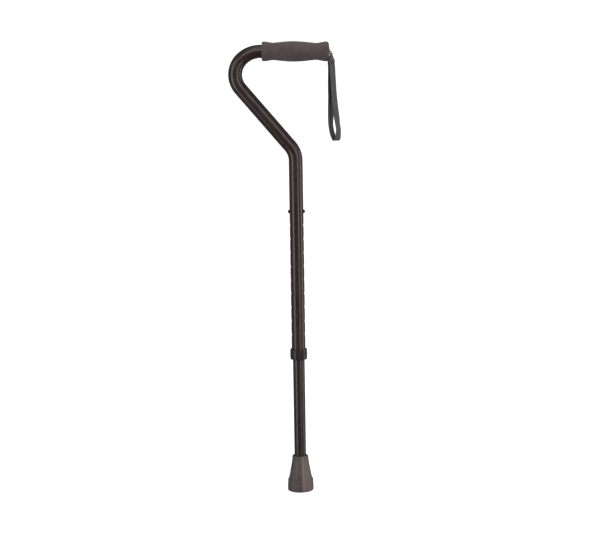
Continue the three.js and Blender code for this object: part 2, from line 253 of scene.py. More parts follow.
class Paint:
    """A material's node tree under construction, with the few calls that the materials need."""

    def __init__(self, name):
        self.material = bpy.data.materials.new(name)
        self.material.use_nodes = True
        self.tree = self.material.node_tree
        self.shader = self.tree.nodes["Principled BSDF"]

    def node(self, kind, settings=None, **inputs):
        """A new node with its settings made and its inputs fed; a _ in a name is a space."""
        made = self.tree.nodes.new(kind)
        for key, value in (settings or {}).items():
            setattr(made, key, value)
        for key, value in inputs.items():
            self.feed(made.inputs[key.replace("_", " ")], value)
        return made

    def feed(self, socket, value):
        if isinstance(value, bpy.types.NodeSocket):
            self.tree.links.new(value, socket)
        else:
            socket.default_value = value

    def set(self, **inputs):
        """Feeds inputs of the shader itself."""
        for key, value in inputs.items():
            self.feed(self.shader.inputs[key.replace("_", " ")], value)

    def place(self, stretch=(1, 1, 1), source="Object"):
        coordinates = self.node("ShaderNodeTexCoord").outputs[source]
        return self.node("ShaderNodeMapping", Vector=coordinates, Scale=stretch).outputs["Vector"]

    def noise(self, scale, detail=3.0, roughness=0.5, stretch=(1, 1, 1), source="Object"):
        spot = self.place(stretch, source)
        made = self.node("ShaderNodeTexNoise", Vector=spot, Scale=scale, Detail=detail)
        made.inputs["Roughness"].default_value = roughness
        return made.outputs["Fac"]

    def cells(self, scale):
        made = self.node("ShaderNodeTexVoronoi", Vector=self.place(), Scale=scale)
        return made.outputs["Distance"]

    def ramp(self, value, stops):
        made = self.node("ShaderNodeValToRGB", Fac=value)
        band = made.color_ramp
        while len(band.elements) < len(stops):
            band.elements.new(0.5)
        for element, (spot, colour) in zip(band.elements, stops):
            element.position = spot
            element.color = colour
        return made.outputs["Color"]

    def range(self, value, low, high, to_low=0.0, to_high=1.0):
        """Maps the stretch from low to high onto to_low to to_high, and holds at its ends."""
        ends = {"From_Min": low, "From_Max": high, "To_Min": to_low, "To_Max": to_high}
        return self.node("ShaderNodeMapRange", Value=value, **ends).outputs["Result"]

    def times(self, a, b):
        made = self.node("ShaderNodeMath", {"operation": "MULTIPLY"})
        self.feed(made.inputs[0], a)
        self.feed(made.inputs[1], b)
        return made.outputs["Value"]

    def mix(self, share, a, b):
        made = self.node("ShaderNodeMix", {"data_type": "RGBA"})
        self.feed(made.inputs["Factor"], share)
        first, second = [socket for socket in made.inputs if socket.type == "RGBA"]
        self.feed(first, a)
        self.feed(second, b)
        return [socket for socket in made.outputs if socket.type == "RGBA"][0]

    def attribute(self, name):
        return self.node("ShaderNodeAttribute", {"attribute_name": name}).outputs["Fac"]

    def bump(self, height, strength, distance, under=None):
        made = self.node("ShaderNodeBump", Height=height, Strength=strength, Distance=distance)
        if under is not None:
            self.feed(made.inputs["Normal"], under)
        return made.outputs["Normal"]


def srgb(red, green, blue):
    """A colour given as 0 to 255 screen values, in linear light with full alpha."""
    linear = []
    for value in (red, green, blue):
        share = value / 255
        linear.append(share / 12.92 if share <= 0.04045 else ((share + 0.055) / 1.055) ** 2.4)
    return (*linear, 1.0)


# ---------------------------------------------------------------- materials

WHITE = (1, 1, 1, 1)
WARM = (1, 0.85, 0.84, 1)  # the brown cast of the black finishes' reflections


def foam_material():
    """Closed-cell foam: matt, faintly mottled, with open pores darkened by painted shade, and a soft sheen at
    its edges.
    """
    paint = Paint("grip_foam")
    broad = paint.noise(70, 4, 0.6)
    fine = paint.noise(900, 3, 0.7)
    body = paint.ramp(broad, [(0.3, srgb(91, 79, 78)), (0.55, srgb(104, 91, 90)), (0.8, srgb(116, 102, 100))])
    speckled = paint.mix(paint.range(fine, 0.45, 0.75, 0.0, 0.5), body, srgb(66, 57, 55))
    pores = paint.cells(1500)
    # Painted shade: the colour darkens towards each pore's middle, where the pits are deepest.
    pore_shaded = paint.mix(paint.range(pores, 0.0, 0.35, 0.55, 0.0), speckled, srgb(46, 39, 38))
    skin = paint.bump(pores, 0.5, 0.00012)
    paint.set(Base_Color=pore_shaded, Roughness=paint.range(fine, 0.2, 0.8, 0.82, 0.98))
    paint.set(Sheen_Weight=0.25, Sheen_Roughness=0.6, Specular_IOR_Level=0.2)
    paint.set(Normal=paint.bump(fine, 0.35, 0.00015, skin))
    return paint.material


def tube_material():
    """Black anodised tube: satin, with drawing lines along it, handling haze and rare scratches."""
    paint = Paint("black_anodised_tube")
    drawn = paint.noise(1, 4, 0.6, stretch=(900, 14, 1), source="UV")
    haze = paint.noise(38, 3, 0.55)
    scratch = paint.noise(1, 2, 0.4, stretch=(260, 9, 1), source="UV")
    dark = paint.ramp(haze, [(0.35, srgb(38, 27, 27)), (0.7, srgb(48, 36, 35))])
    marks = paint.times(paint.range(scratch, 0.69, 0.76), paint.range(drawn, 0.5, 0.7))
    worn = paint.mix(paint.times(marks, 0.35), dark, srgb(120, 112, 108))
    rims = paint.attribute("wear")
    chipped = paint.times(rims, paint.range(paint.noise(700, 4, 0.7), 0.4, 0.65))
    paint.set(Base_Color=paint.mix(chipped, worn, srgb(132, 126, 122)))
    paint.set(Metallic=paint.times(chipped, 0.8), Coat_Weight=0.25, Coat_Roughness=0.16)
    paint.set(Roughness=paint.range(haze, 0.3, 0.75, 0.27, 0.4), Specular_IOR_Level=0.6)
    paint.set(Specular_Tint=WARM, Coat_Tint=WARM)
    paint.set(Normal=paint.bump(drawn, 0.12, 0.00003))
    return paint.material


def plastic_material():
    """Moulded black plastic with a fine spark-eroded grain."""
    paint = Paint("moulded_black_plastic")
    grain = paint.noise(2600, 2, 0.5)
    cloud = paint.noise(120, 3, 0.5)
    paint.set(Base_Color=paint.ramp(cloud, [(0.3, srgb(38, 28, 28)), (0.75, srgb(50, 38, 38))]))
    paint.set(Roughness=paint.range(cloud, 0.3, 0.7, 0.3, 0.42), Specular_Tint=WARM)
    paint.set(Normal=paint.bump(grain, 0.2, 0.00004))
    return paint.material


def button_material():
    """Black-plated steel, rubbed a little brighter where the thumb presses."""
    paint = Paint("black_plated_steel")
    rubbed = paint.attribute("wear")
    fine = paint.noise(900, 4, 0.6)
    share = paint.times(rubbed, paint.range(fine, 0.35, 0.7, 0.1, 0.6))
    paint.set(Base_Color=paint.mix(share, srgb(36, 31, 29), srgb(120, 114, 108)))
    paint.set(Metallic=0.75, Roughness=paint.range(fine, 0.3, 0.7, 0.24, 0.38))
    paint.set(Normal=paint.bump(fine, 0.1, 0.00003))
    return paint.material


def steel_material():
    """Bright rolled steel for the spring and the washer."""
    paint = Paint("bright_steel")
    rolled = paint.noise(1, 3, 0.5, stretch=(1800, 1800, 90))
    paint.set(Base_Color=paint.ramp(rolled, [(0.3, srgb(120, 118, 114)), (0.7, srgb(158, 156, 152))]))
    paint.set(Metallic=1.0, Roughness=paint.range(rolled, 0.3, 0.7, 0.22, 0.4))
    paint.set(Normal=paint.bump(rolled, 0.1, 0.00003))
    return paint.material


def rubber_material():
    """Moulded grey-brown rubber: mottled, with painted light on the side towards the right-hand lamps and a
    painted highlight along one mould line, dusty, with flow grain.
    """
    paint = Paint("tip_rubber")
    clouds = paint.noise(85, 5, 0.62)
    grain = paint.noise(1400, 3, 0.6)
    flow = paint.noise(1, 3, 0.55, stretch=(260, 260, 60))
    body = paint.ramp(clouds, [
        (0.3, srgb(82, 70, 69)), (0.52, srgb(98, 86, 84)), (0.75, srgb(120, 107, 104)),
    ])
    # Painted light: the colour pales on the side towards the right-hand lamps, most along the mould line as a
    # painted highlight.
    lamp_side_lit = paint.mix(paint.attribute("painted_light"), body, srgb(146, 131, 128))
    dusty = paint.mix(paint.range(flow, 0.52, 0.72, 0.0, 0.4), lamp_side_lit, srgb(138, 126, 122))
    paint.set(Base_Color=paint.mix(paint.range(grain, 0.5, 0.8, 0.0, 0.5), dusty, srgb(64, 55, 53)))
    paint.set(Roughness=paint.range(clouds, 0.25, 0.75, 0.42, 0.66), Specular_IOR_Level=0.55)
    rough = paint.bump(clouds, 0.25, 0.0006)
    paint.set(Normal=paint.bump(grain, 0.3, 0.00008, rough))
    return paint.material


def webbing_material():
    """Woven polyester: the weave's height, kept on the mesh, paints shade into the yarns' crossings and the
    grooves between them.
    """
    paint = Paint("strap_webbing")
    weave = paint.attribute("weave")
    fibre = paint.noise(1, 3, 0.6, stretch=(5200, 700, 1), source="UV")
    tone = paint.noise(60, 3, 0.5)
    # Painted shade: the lower the weave, the darker the colour.
    yarn = paint.ramp(weave, [(0.0, srgb(42, 43, 43)), (0.45, srgb(86, 88, 87)), (1.0, srgb(115, 118, 116))])
    frayed = paint.mix(paint.range(fibre, 0.35, 0.7, 0.0, 0.35), yarn, srgb(127, 129, 128))
    paint.set(Base_Color=paint.mix(paint.range(tone, 0.3, 0.7, 0.0, 0.3), frayed, srgb(57, 59, 59)))
    paint.set(Roughness=0.82, Sheen_Weight=0.3, Sheen_Roughness=0.5, Specular_IOR_Level=0.25)
    paint.set(Normal=paint.bump(fibre, 0.35, 0.00006))
    return paint.material


def thread_material(name, colour, shade):
    """Twisted or braided thread, with painted shade in its grooves."""
    paint = Paint(name)
    twist = paint.attribute("weave")
    fuzz = paint.noise(3000, 3, 0.6)
    # Painted shade: shade darkens the grooves between the strands; it is also the colour of the random dark
    # flecks.
    body = paint.mix(twist, shade, colour)
    paint.set(Base_Color=paint.mix(paint.range(fuzz, 0.4, 0.7, 0.0, 0.35), body, shade))
    paint.set(Roughness=0.7, Sheen_Weight=0.3, Specular_IOR_Level=0.3)
    paint.set(Normal=paint.bump(fuzz, 0.4, 0.00006))
    return paint.material


def floor_material():
    """Near-white paper with a glow of its own, so that it stays pale all over."""
    paint = Paint("pale_floor")
    speckle = paint.noise(9, 2, 0.5)
    tone = paint.ramp(speckle, [(0.3, srgb(250, 250, 250)), (0.7, srgb(253, 253, 253))])
    paint.set(Base_Color=tone, Roughness=0.9)
    paint.set(Emission_Color=WHITE, Emission_Strength=0.9)
    return paint.material


FOAM = foam_material()
TUBE = tube_material()
PLASTIC = plastic_material()
BUTTON = button_material()
STEEL = steel_material()
RUBBER = rubber_material()
WEBBING = webbing_material()
CORD = thread_material("elastic_cord", srgb(196, 193, 188), srgb(120, 117, 112))
STITCH = thread_material("strap_thread", srgb(74, 77, 75), srgb(36, 38, 37))


def mark(piece, name, values):
    """Keeps one number per point on the mesh, for its material to read."""
    layer = piece.data.attributes.new(name, "FLOAT", "POINT")
    layer.data.foreach_set("value", values)


def install(piece, body, slot, *nodes):
    """The piece rides on a body and stands for its CAD nodes, which are hidden; slot is not used."""
    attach(piece, body)
    if nodes:
        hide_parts(*nodes)


def repaint(node, material):
    """A CAD node that keeps its own shape gets the detailed material."""
    data = frame["nodes"][node].data
    data.materials.clear()
    data.materials.append(material)


# ---------------------------------------------------------------- wrist strap

# The folded webbing, from the front end's cut edge, round the fold, to the back end's: a place in
# millimetres, then the angle in degrees between the webbing's width and the cane's side direction.
STRAP_ROUTE = [
    (60.1, -2, 701.8, 6), (60.3, -3.8, 698.8, 16), (60.3, -5.75, 695.6, 29), (60.05, -6.3, 692.5, 37),
    (59.6, -6, 689.5, 41), (59.95, -5.5, 683.2, 42), (60.45, -5.1, 673.8, 42),
    (61.35, -4.8, 654.9, 42), (62.5, -4.5, 636, 42), (64.45, -4.6, 617.1, 42), (65.7, -4.6, 604.5, 44),
    (66.6, -4.1, 598.3, 40), (67.35, -3.7, 592, 37), (68.3, -3.6, 585.7, 37), (68.25, -3.2, 579.4, 39),
    (67.8, -2.5, 573.5, 43), (66.6, -1.3, 569, 46), (64.9, 0, 567.4, 47), (63.2, 1.1, 568, 46),
    (61.6, 2.2, 571.1, 45), (59.35, 3, 576.5, 41), (57.9, 3.4, 582, 38), (57.1, 3.5, 587, 37),
    (56.5, 3.5, 592.5, 37), (56.45, 3.5, 598.3, 40), (56.65, 3.4, 604.5, 44), (56.6, 2.2, 617.1, 42),
    (57, 0.4, 636, 42), (56.9, -0.9, 654.9, 42), (57.3, -2.2, 673.8, 42), (57.3, -3, 683.2, 42),
    (56.8, -3.6, 689.5, 41), (57.75, -4.6, 692.5, 37), (58.35, -4.65, 695.6, 29),
    (58.5, -3.3, 698.8, 16), (58.25, -1.8, 701.8, 6),
]
# The elastic cord, from the knot in the grip's end to where the webbing's two ends hold it.
CORD_ROUTE = [
    (58.25, 0, 706.6), (59.1, -0.4, 706), (59.5, -1, 704.6), (59.2, -1.65, 702.7),
    (59.15, -2.3, 700.5), (59.4, -3.8, 698),
]
STRAP_WIDTH = 12.7
STRAP_THICKNESS = 1.3
YARN_PITCH = 1.06
PICK_PITCH = 1.5
WEAVE_DEPTH = 0.11
WEAVE_MIDDLE = 0.6  # the weave's height that leaves the webbing at its own thickness
BEND_WEAVE = 0.3  # how far the weave shows on the rounded edges, against 1 on the flat sides
SECTION_STEP = 0.265  # a quarter of a yarn
STRAP_STEPS = 22  # stations to each span of the route
TACK_STATION = 4 * STRAP_STEPS


def width_direction(yaw_degrees, tangent):
    """The webbing's width at an angle from the side direction, square to the way it runs."""
    yaw = math.radians(yaw_degrees)
    across = Vector((math.sin(yaw), math.cos(yaw), 0))
    return (across - tangent * across.dot(tangent)).normalized()


def weave_height(across, along):
    """Plain weave from 0 to 1: round yarns run lengthwise and dip under every other pick."""
    yarn = across / YARN_PITCH
    rib = abs(math.cos(math.pi * yarn))
    turn = math.floor(yarn + 0.5) % 2 * math.pi
    crest = 0.5 + 0.5 * math.cos(2 * math.pi * along / PICK_PITCH + turn)
    return rib ** 0.7 * (0.35 + 0.65 * crest)


def band_section(half, thin, step):
    """Places (across, outward, flatness) round a flat band with half-round edges."""
    flat = [-half + thin + step * i for i in range(int(2 * (half - thin) / step) + 1)]
    bend = [math.pi * k / 6 for k in range(1, 6)]
    section = [(x, thin, 1.0) for x in flat]
    section += [(half - thin + thin * math.sin(a), thin * math.cos(a), BEND_WEAVE) for a in bend]
    section += [(x, -thin, 1.0) for x in reversed(flat)]
    section += [(thin - half - thin * math.sin(a), -thin * math.cos(a), BEND_WEAVE) for a in bend]
    return section


def strap_stations():
    """Places (centre, tangent, width direction) down the webbing's whole length."""
    line = smooth_line([Vector((*at(*spot[:3]), spot[3])) for spot in STRAP_ROUTE], STRAP_STEPS)
    centres = [spot.to_3d() for spot in line]
    stations = []
    for i, centre in enumerate(centres):
        tangent = (centres[min(i + 1, len(centres) - 1)] - centres[max(i - 1, 0)]).normalized()
        stations.append((centre, tangent, width_direction(line[i][3], tangent)))
    return stations


def make_strap(stations):
    """The folded webbing, its plain weave modelled on both faces."""
    section = band_section(STRAP_WIDTH / 2, STRAP_THICKNESS / 2, SECTION_STEP)
    rings, uvs, heights = [], [], []
    travelled = 0.0
    for i, (centre, tangent, across) in enumerate(stations):
        travelled += (centre - stations[max(i - 1, 0)][0]).length / MM
        outward = tangent.cross(across)
        ring = []
        for side, out, flatness in section:
            weave = weave_height(side, travelled)
            swell = flatness * WEAVE_DEPTH * (weave - WEAVE_MIDDLE) / (STRAP_THICKNESS / 2)
            lift = out * (1 + swell)
            ring.append(centre + (across * side + outward * lift) * MM)
            uvs.append((side * MM, travelled * MM))
            heights.append(weave)
        rings.append(ring)
    points, faces = loft(rings)
    strap = add_mesh("strap_webbing", points, faces, WEBBING, 60, uvs)
    mark(strap, "weave", heights)
    return strap


STRAND_RIDGE = 0.12  # share of a thread's radius


def thread_tube(name, line, radius, material, strands=6, pitch=2.2, segments=18):
    """A thread whose twisted strands stand as ridges round it; line is in metres."""
    rings, heights = [], []
    travelled = 0.0
    tangent = (line[1] - line[0]).normalized()
    side = tangent.orthogonal().normalized()
    for i, centre in enumerate(line):
        ahead = line[min(i + 1, len(line) - 1)]
        behind = line[max(i - 1, 0)]
        tangent = (ahead - behind).normalized()
        side = (side - tangent * side.dot(tangent)).normalized()
        up = tangent.cross(side)
        travelled += (centre - behind).length / MM if i else 0.0
        ring = []
        twist = 2 * math.pi * travelled / (pitch * strands / 2)
        for angle in circle(segments):
            height = abs(math.cos(strands / 2 * (angle + twist)))
            reach = radius * (1 - STRAND_RIDGE + STRAND_RIDGE * height) * MM
            ring.append(centre + (side * math.cos(angle) + up * math.sin(angle)) * reach)
            heights.append(height)
        rings.append(ring)
    points, faces = loft(rings)
    thread = add_mesh(name, points, faces, material, 60)
    mark(thread, "weave", heights)
    return thread


def make_bartack(name, station):
    """A dense zigzag of thread on the outward face of the folded webbing."""
    centre, tangent, across = station
    outward = tangent.cross(across)
    strokes, stroke_steps = 15, 8
    half_width, rise = 4.6, 5.5
    path = []
    for i in range(strokes * stroke_steps + 1):
        turn = i / stroke_steps
        sway = 1 - 4 * abs(turn / 2 - math.floor(turn / 2 + 0.5))
        lift = STRAP_THICKNESS / 2 + 0.1 + 0.08 * math.cos(math.pi * sway)
        spot = across * half_width * sway + tangent * rise * (turn / strokes - 0.5) + outward * lift
        path.append(centre + spot * MM)
    return thread_tube(name, path, 0.2, STITCH, strands=3, pitch=0.8, segments=8)


stations = strap_stations()
strap_line = [centre for centre, _, _ in stations]
strap = make_strap(stations)
cord_line = smooth_line([at(*spot) for spot in CORD_ROUTE], 12)
strap_cord = thread_tube("strap_elastic", cord_line, 0.75, CORD)
front_tack = make_bartack("bartack_front", stations[TACK_STATION])
back_tack = make_bartack("bartack_back", stations[-1 - TACK_STATION])
install(strap, "strap", "webbing", "wrist_strap")
install(strap_cord, "strap", "cord", "strap_cord")
for piece in (front_tack, back_tack):
    install(piece, "strap", "webbing")
tuple(strap_line[0])
line_length(strap_line)


# ---------------------------------------------------------------- tubes

UPPER_RADIUS = 11.1
LOWER_RADIUS = 9.525
WALL = 1.2
RIM_ROUNDING = 0.3
TUBE_SEGMENTS = 72
TUBE_SHARP = 40  # degrees
GRIP_HEIGHT = -FLOOR / MM
HANDLE_RUN_END = 48.6
DIAGONAL_LEAN = math.radians(40.24)
DIAGONAL_MEETS_SHAFT = 549.4
HANDLE_BEND = [(42, 0.343, 20), (34, 0.657, 36)]  # radius, share of the turn, steps
LOWER_BEND = [(35, 1, 18)]
BEND_FLATTENING = 0.06  # share of the radius, in the plane of the handle bend
FLATTENING_STARTS = -40  # along the grip, in millimetres
FLATTENING_ENDS = 0.5  # share of the handle bend's turn
HOLE_RADIUS = 3.45
HOLE_COUNT = 10
HOLE_PITCH = 22.0
TOP_HOLE = 455.5
DRILL_REACH = 1.5 * UPPER_RADIUS
DRILL_SEGMENTS = 48
HOLE_WEAR_WIDTH = 0.5


def rounded_corner(before, corner, after, arcs):
    """Stations (place, direction, share of the turn) round a corner, one arc after another."""
    into = (corner - before).normalized()
    out = (after - corner).normalized()
    inward = (out - into * into.dot(out)).normalized()
    turn = into.angle(out)
    flat = [(0.0, 0.0, 0.0)]
    for radius, share, steps in arcs:
        x, y, heading = flat[-1]
        for i in range(1, steps + 1):
            angle = heading + turn * share * i / steps
            ahead = radius * (math.sin(angle) - math.sin(heading))
            flat.append((x + ahead, y + radius * (math.cos(heading) - math.cos(angle)), angle))
    start = corner + into * (flat[-1][1] / math.tan(turn) - flat[-1][0])
    return [
        (start + into * x + inward * y, into * math.cos(angle) + inward * math.sin(angle), angle / turn)
        for x, y, angle in flat
    ]


def straight(start, end, spacing):
    """Stations (place, direction, flatness) between two points, without either end."""
    count = max(2, round((end - start).length / spacing))
    ahead = (end - start).normalized()
    return [(start.lerp(end, i / count), ahead, 0.0) for i in range(1, count)]


def upper_tube_stations():
    """The upper tube's centreline in millimetres, heights from the floor, with its flatness."""
    down = Vector((math.sin(DIAGONAL_LEAN), 0, -math.cos(DIAGONAL_LEAN)))
    grip_middle = Vector((0, 0, GRIP_HEIGHT))
    handle_end = grip_middle + GRIP_ALONG * HANDLE_RUN_END
    lower_corner = Vector((0, 0, DIAGONAL_MEETS_SHAFT))
    rise = GRIP_HEIGHT - DIAGONAL_MEETS_SHAFT
    upper_corner = lower_corner - down * rise / (-down.z - down.x * math.tan(GRIP_TILT))
    bottom = Vector((0, 0, (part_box("upper_tube")[0].z - FLOOR) / MM))
    handle_bend = rounded_corner(handle_end, upper_corner, lower_corner, HANDLE_BEND)
    lower_bend = rounded_corner(upper_corner, lower_corner, bottom, LOWER_BEND)
    stations = [(handle_end, -GRIP_ALONG, 0.0)]
    for x in (40, 20, 0, -20, -40, -42, -44, -46, -48, -50):
        flatness = BEND_FLATTENING * max(0, FLATTENING_STARTS - x) / 10
        stations.append((grip_middle + GRIP_ALONG * x, -GRIP_ALONG, flatness))
    for place, ahead, share in handle_bend:
        stations.append((place, ahead, BEND_FLATTENING * (1 - smoothstep(share, 0, FLATTENING_ENDS))))
    stations += straight(handle_bend[-1][0], lower_bend[0][0], 6)
    stations += [(place, ahead, 0.0) for place, ahead, _ in lower_bend]
    stations += straight(lower_bend[-1][0], bottom, 1.6)
    stations.append((bottom, Vector((0, 0, -1)), 0.0))
    return stations


def tube_skin(stations, radius):
    """Rings of points round the stations, thinned in the plane of the handle bend."""
    rings = []
    for place, ahead, flatness in stations:
        inward = ahead.cross(Vector((0, 1, 0))).normalized()
        ring = []
        for angle in circle(TUBE_SEGMENTS):
            spot = place + inward * radius * (1 - flatness) * math.cos(angle)
            ring.append(at(spot.x, spot.y + radius * math.sin(angle), spot.z))
        rings.append(ring)
    return rings


def hollow_tube(name, stations, radius):
    """An open tube with rounded rims; its UVs, in metres, run half round and back, and along."""
    start, start_ahead, _ = stations[0]
    end, end_ahead, _ = stations[-1]
    after_start = (start + start_ahead * RIM_ROUNDING, start_ahead, 0.0)
    before_end = (end - end_ahead * RIM_ROUNDING, end_ahead, 0.0)
    middle = [after_start, *stations[1:-1], before_end]
    lip_out, lip_in = radius - RIM_ROUNDING, radius - WALL + RIM_ROUNDING
    rings = tube_skin(middle, radius)
    rings += tube_skin(stations[-1:], lip_out) + tube_skin(stations[-1:], lip_in)
    rings += tube_skin(middle[::-1], radius - WALL)
    rings += tube_skin(stations[:1], lip_in) + tube_skin(stations[:1], lip_out)
    points, faces = loft(rings, closed=True)
    uvs = []
    travelled = 0.0
    for i, ring in enumerate(rings):
        travelled += (ring[0] - rings[i - 1][0]).length if i else 0.0
        for j in range(TUBE_SEGMENTS):
            folded = abs(2 * j / TUBE_SEGMENTS - 1)
            uvs.append((folded * math.pi * radius * MM, travelled))
    return add_mesh(name, points, faces, TUBE, TUBE_SHARP, uvs)


def cut_cross_holes(tube, heights):
    """Drills round holes through both walls along X."""
    points, faces = [], []
    for height in heights:
        rings = []
        for x in (-DRILL_REACH, DRILL_REACH):
            ring = []
            for angle in circle(DRILL_SEGMENTS):
                up = HOLE_RADIUS * math.sin(angle)
                ring.append(at(x, HOLE_RADIUS * math.cos(angle), height + up))
            rings.append(ring)
        drill_points, drill_faces = loft(rings)
        base = len(points)
        points += drill_points
        faces += [tuple(base + k for k in face) for face in drill_faces]
    drill = add_mesh("drill", points, faces, TUBE)
    cut = tube.modifiers.new("holes", "BOOLEAN")
    cut.operation = "DIFFERENCE"
    cut.solver = "EXACT"
    cut.object = drill
    bpy.context.view_layer.update()
    result = tube.evaluated_get(bpy.context.evaluated_depsgraph_get())
    cut_mesh = bpy.data.meshes.new_from_object(result)
    tube.modifiers.clear()
    tube.data = cut_mesh
    shade_smooth(cut_mesh, TUBE_SHARP)
    bpy.data.objects.remove(drill)


def mark_wear(tube, heights, radius):
    """Wear from 0 to 1 on the tube's outside, high at the rims of its holes."""
    values = []
    for vertex in tube.data.vertices:
        x, y = vertex.co.x / MM, vertex.co.y / MM
        height = (vertex.co.z - FLOOR) / MM
        wear = 0.0
        if math.hypot(x, y) > radius - 0.1 and abs(x) > abs(y):
            for hole in heights:
                gap = math.hypot(y, height - hole) - HOLE_RADIUS
                wear = max(wear, 1 - smoothstep(abs(gap), 0.0, HOLE_WEAR_WIDTH))
        values.append(wear)
    mark(tube, "wear", values)


def make_tube(name, node, body, stations, radius, heights):
    """A tube with its cross holes at the given heights, in place of its CAD node."""
    tube = hollow_tube(name, stations, radius)
    cut_cross_holes(tube, heights)
    mark_wear(tube, heights, radius)
    install(tube, body, "black_tube", node)


def lower_tube_stations():
    """The lower tube's centreline, from its top, inside the upper tube, to its foot."""
    low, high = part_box("lower_tube")
    bottom = Vector((0, 0, (low.z - FLOOR) / MM))
    top = Vector((0, 0, (high.z - FLOOR) / MM))
    down = Vector((0, 0, -1))
    return [(top, down, 0.0), *straight(top, bottom, 2.4), (bottom, down, 0.0)]


all_holes = [TOP_HOLE - HOLE_PITCH * i for i in range(HOLE_COUNT)]
make_tube("handle_tube", "upper_tube", "handle", upper_tube_stations(), UPPER_RADIUS, all_holes)
make_tube("telescoping_tube", "lower_tube", "shaft", lower_tube_stations(), LOWER_RADIUS, [TOP_HOLE])


# ---------------------------------------------------------------- grip

GRIP_LEFT = -50.8
GRIP_RIGHT = 55.9
GRIP_BORE = 11.35
KNOT_ALONG = 56.9
# Places along the grip and its radius there: a flare at each end, two waists and a belly.
GRIP_WAIST = [
    (-46.5, 15.55), (-39.2, 14.5), (-32.9, 13.75), (-26.6, 14.2), (-20.3, 14.9), (-11, 15.65),
    (-1.5, 15.95), (8, 15.7), (17.4, 15.05), (23.7, 14.4), (29.9, 13.7), (36.2, 13.35),
    (42.5, 14.4), (48, 15.45),
]


def foam_swell(radius, height, angle):
    """Foam isn't turned true: it swells and dips by up to about a tenth of a millimetre."""
    spot = Vector((height * 0.09, math.cos(angle) * 1.6, math.sin(angle) * 1.6))
    fine = Vector((height * 0.8, math.cos(angle) * 12, math.sin(angle) * 12))
    return radius + 0.12 * noise.noise(spot) + 0.035 * noise.noise(fine)


def make_grip():
    """The foam sleeve: open at the bend's end, and closed at the other but for the cord's hole."""
    waist = smooth_line([Vector((radius, along, 0)) for along, radius in GRIP_WAIST], 10)
    profile = [(GRIP_BORE, GRIP_LEFT + 0.5)]
    profile += [(GRIP_BORE + 0.5, GRIP_LEFT), (12.0, GRIP_LEFT - 0.02)]
    profile += arc(12.4, GRIP_LEFT + 3.2, 3.2, -90, -20, 12)
    profile += [(point.x, point.y) for point in waist]
    profile += arc(12.0, GRIP_RIGHT - 4.7, 3.5, 5, 70, 12)
    profile += [(11, GRIP_RIGHT - 0.7), (8, GRIP_RIGHT - 0.3), (5.4, GRIP_RIGHT - 0.05)]
    profile += [(4.6, GRIP_RIGHT - 0.15), (4.3, GRIP_RIGHT - 0.6), (4.3, 51.4), (GRIP_BORE, 51.4)]
    profile += [(GRIP_BORE, along) for along in range(45, -50, -6)]
    points, faces = turned(profile, along_grip, 160, foam_swell)
    grip = add_mesh("hand_grip_foam", points, faces, FOAM, 50)
    install(grip, "handle", "foam", "foam_grip")


def make_plug():
    """The end plug: a barrel, a flange and a nose with a countersunk eye."""
    profile = rounded([
        (0, 36.6, 0), (8.6, 36.6, 0), (9.6, 37.6, 0.3), (9.6, 48.9, 0), (11.1, 48.9, 0.2),
        (11.1, 50.9, 0.3), (4.0, 50.9, 0.3), (4.0, 56.6, 0.6), (2.7, 56.6, 0.3), (1.2, 55.1, 0.2),
        (0, 55.1, 0),
    ])
    points, faces = turned(profile, along_grip, 64)
    plug = add_mesh("grip_end_plug", points, faces, PLASTIC, 35)
    install(plug, "handle", "black_plastic", "grip_plug")


def make_knot():
    """The cord's end, wound round itself in the eye."""
    turns, steps = 3, 96
    size = 0.95
    line = []
    for i in range(steps + 1):
        share = i / steps
        angle = 2 * math.pi * turns * share
        reach = size * math.sin(math.pi * (0.12 + 0.76 * share))
        along = KNOT_ALONG + size * (2 * share - 1)
        spot = (reach * math.cos(angle), reach * math.sin(angle), along)
        line.append(along_grip(*spot))
    knot = thread_tube("strap_end_knot", line, 0.55, CORD, segments=12)
    install(knot, "strap_knot", "cord", "strap_knot")


make_grip()
make_plug()
make_knot()


# ---------------------------------------------------------------- lock ring

RING_RIBS = 20
RING_RADIUS = 13.5
RING_CORNER = 1.4
RIB_HEIGHT = 0.24
RIB_GROOVE = 0.04


def make_lock_ring():
    """A ribbed ring with rounded ends, and a recess inside for the collet sleeve."""
    bottom, top = ((corner.z - FLOOR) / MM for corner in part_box("lock_ring"))
    rib_from, rib_to = bottom + 2.2, top - 2.2

    def ribbed(radius, height, angle):
        """Soft ribs stand on the outer wall between the two plain bands."""
        if radius < RING_RADIUS - 0.2:
            return radius
        fade = smoothstep(height, rib_from, rib_from + 0.8)
        fade *= 1 - smoothstep(height, rib_to - 0.8, rib_to)
        wave = max(0.0, math.cos(RING_RIBS * angle)) ** 2
        return radius + (RIB_HEIGHT * wave - RIB_GROOVE) * fade

    shoulder = RING_RADIUS - RING_CORNER
    profile = [(9.95, bottom + 0.2), (10.15, bottom)]
    profile += arc(shoulder, bottom + RING_CORNER, RING_CORNER, -90, 0, 8)
    profile += [(RING_RADIUS, bottom + 1.6 + (top - bottom - 3.2) * i / 24) for i in range(25)]
    profile += arc(shoulder, top - RING_CORNER, RING_CORNER, 0, 90, 8)
    profile += [(11.7, top), (11.4, top - 0.3), (11.4, top - 3.0), (12.45, top - 3.0)]
    profile += [(12.45, bottom + 0.9), (9.95, bottom + 0.9)]
    points, faces = turned(profile, at, 240, ribbed)
    ring = add_mesh("locking_ring", points, faces, PLASTIC, 45)
    install(ring, "lock_ring", "black_plastic", "lock_ring")


make_lock_ring()
repaint("collet_sleeve", PLASTIC)
repaint("tip_washer", STEEL)


# ---------------------------------------------------------------- buttons

BUTTON_RADIUS = 3.1
DOME_START = 10.8


